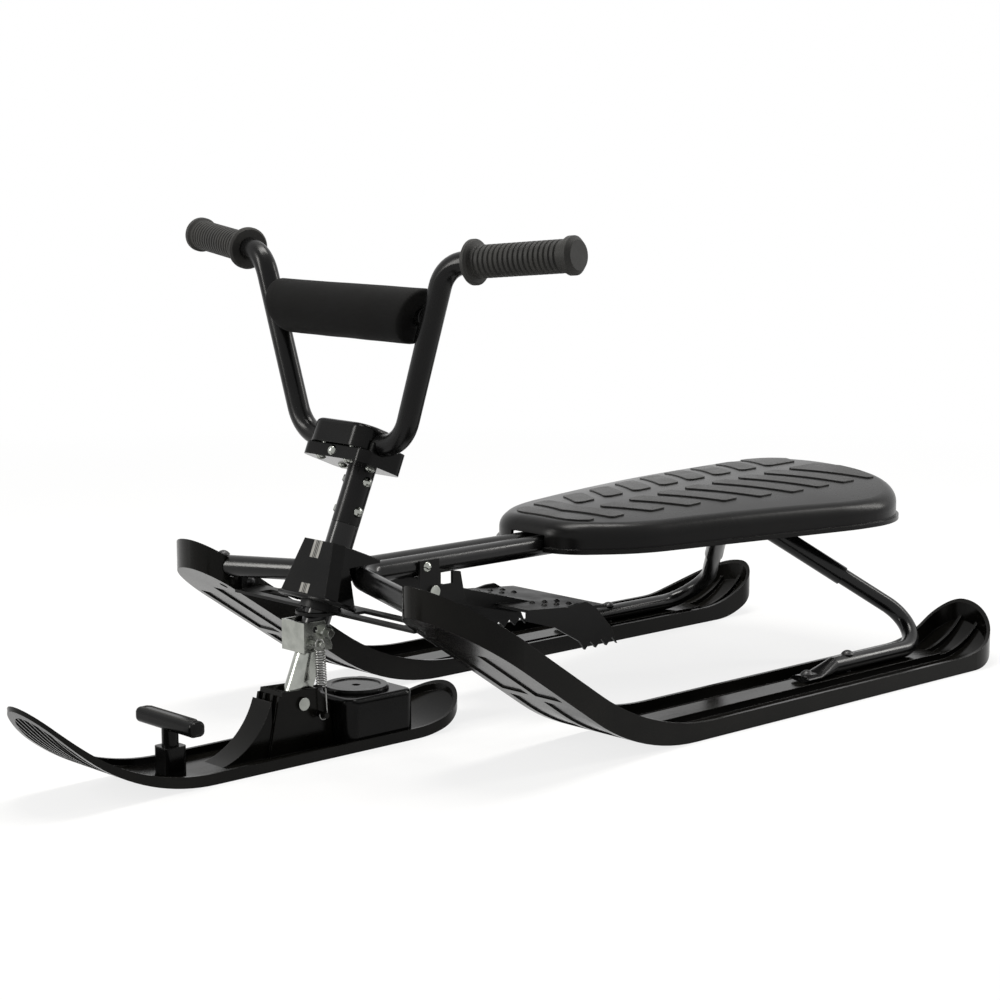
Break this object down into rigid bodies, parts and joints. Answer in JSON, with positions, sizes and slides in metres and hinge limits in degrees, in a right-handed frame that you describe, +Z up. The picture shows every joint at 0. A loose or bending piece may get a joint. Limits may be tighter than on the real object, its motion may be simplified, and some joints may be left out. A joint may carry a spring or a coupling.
{
  "type": "steering sled",
  "caption": "Steerable snow sled: twin rear skis under a tube frame with a moulded seat, a sprung front ski on a handlebar stem, a pedal brake and a tow reel.",
  "frame": {"origin": "on the ground under the middle of the sled, at the centre of its bounding box's bottom", "axes": "+X forward towards the front ski's tip, +Y to the rider's left, +Z up"},
  "size_m": [1.168, 0.5792, 0.5097],
  "materials": {
    "frame_paint": "gloss black powder coat",
    "bar_paint": "satin black powder coat",
    "zinc": "bright zinc plate",
    "ski_plastic": "semi-gloss black moulded plastic",
    "seat_plastic": "gloss black moulded plastic",
    "tread": "matt grained black",
    "cover_plastic": "satin black moulded plastic",
    "grip_rubber": "matt black rubber",
    "foam": "matt black closed-cell foam",
    "bush_plastic": "plain black plastic",
    "spring_steel": "plain spring steel",
    "black_bolt": "black oxide"
  },
  "bodies": {
    "frame": {"rail_tube_left": "frame_paint", "rail_tube_right": "frame_paint", "rear_leg_left": "frame_paint", "rear_leg_right": "frame_paint", "head_tube": "frame_paint", "upper_head_bush": "bush_plastic", "lower_head_bush": "bush_plastic", "head_gusset": "frame_paint", "head_cover": "cover_plastic", "front_cross_member": "frame_paint", "strap_bolts": "black_bolt", "strap_nuts": "zinc", "seat_pan": "seat_plastic", "seat_treads": "tread", "seat_bracket_front": "frame_paint", "seat_bracket_rear": "frame_paint", "seat_screws": "zinc", "rear_ski_left": "ski_plastic", "rear_ski_right": "ski_plastic", "ski_bolts_left": "black_bolt", "ski_bolts_right": "black_bolt", "brake_bracket": "frame_paint", "bracket_screws": "zinc", "brake_pin": "zinc", "brake_spring": "spring_steel"},
    "steering": {"steering_stem": "frame_paint", "column_tube": "bar_paint", "column_post": "bar_paint", "column_bolts": "zinc", "column_nuts": "zinc", "handlebar": "bar_paint", "crossbar": "bar_paint", "crossbar_pad": "foam", "left_grip": "grip_rubber", "right_grip": "grip_rubber", "clamp_base": "cover_plastic", "clamp_cap": "cover_plastic", "clamp_bolt": "zinc", "clamp_screws": "zinc", "fork_bracket": "zinc", "fork_bolt": "zinc", "fork_nut": "zinc", "ski_spring": "spring_steel"},
    "front_runner": {"front_ski": "ski_plastic", "pivot_pin": "zinc", "reel_housing": "cover_plastic", "reel_cap": "cover_plastic", "reel_axle": "zinc", "handle_holder": "cover_plastic"},
    "brake": {"brake_plate": "frame_paint"},
    "reel": {"reel_drum": "bush_plastic"},
    "handle": {"tow_handle": "grip_rubber"}
  },
  "joints": [
    {"name": "steer", "type": "hinge", "parent": "frame", "child": "steering", "pos_m": [0.21898, 0, 0.18174], "axis": [-0.3859, 0, 0.9225], "range_deg": [-24, 24]},
    {"name": "ski_pitch", "type": "hinge", "parent": "steering", "child": "front_runner", "pos_m": [0.27366, 0, 0.05102], "axis": [0, 1, 0], "range_deg": [-10, 10], "stiffness_Nm_per_rad": 10, "deforming": ["ski_spring"]},
    {"name": "brake_press", "type": "hinge", "parent": "frame", "child": "brake", "pos_m": [0.112, 0, 0.142], "axis": [0, -1, 0], "range_deg": [0, 17], "stiffness_Nm_per_rad": 6, "springref_deg": -22.92, "deforming": ["brake_spring"]},
    {"name": "handle_pull", "type": "slide", "parent": "front_runner", "child": "handle", "axis": [0, 0, 1], "range_m": [0, 0.015]},
    {"name": "reel_turn", "type": "hinge", "parent": "front_runner", "child": "reel", "pos_m": [0.192, 0, 0.023], "axis": [0, 0, 1], "range_deg": [0, 45]}
  ],
  "couplings": [
    {"joint": "reel_turn", "follows": "handle_pull", "rad_per_m": 50}
  ]
}
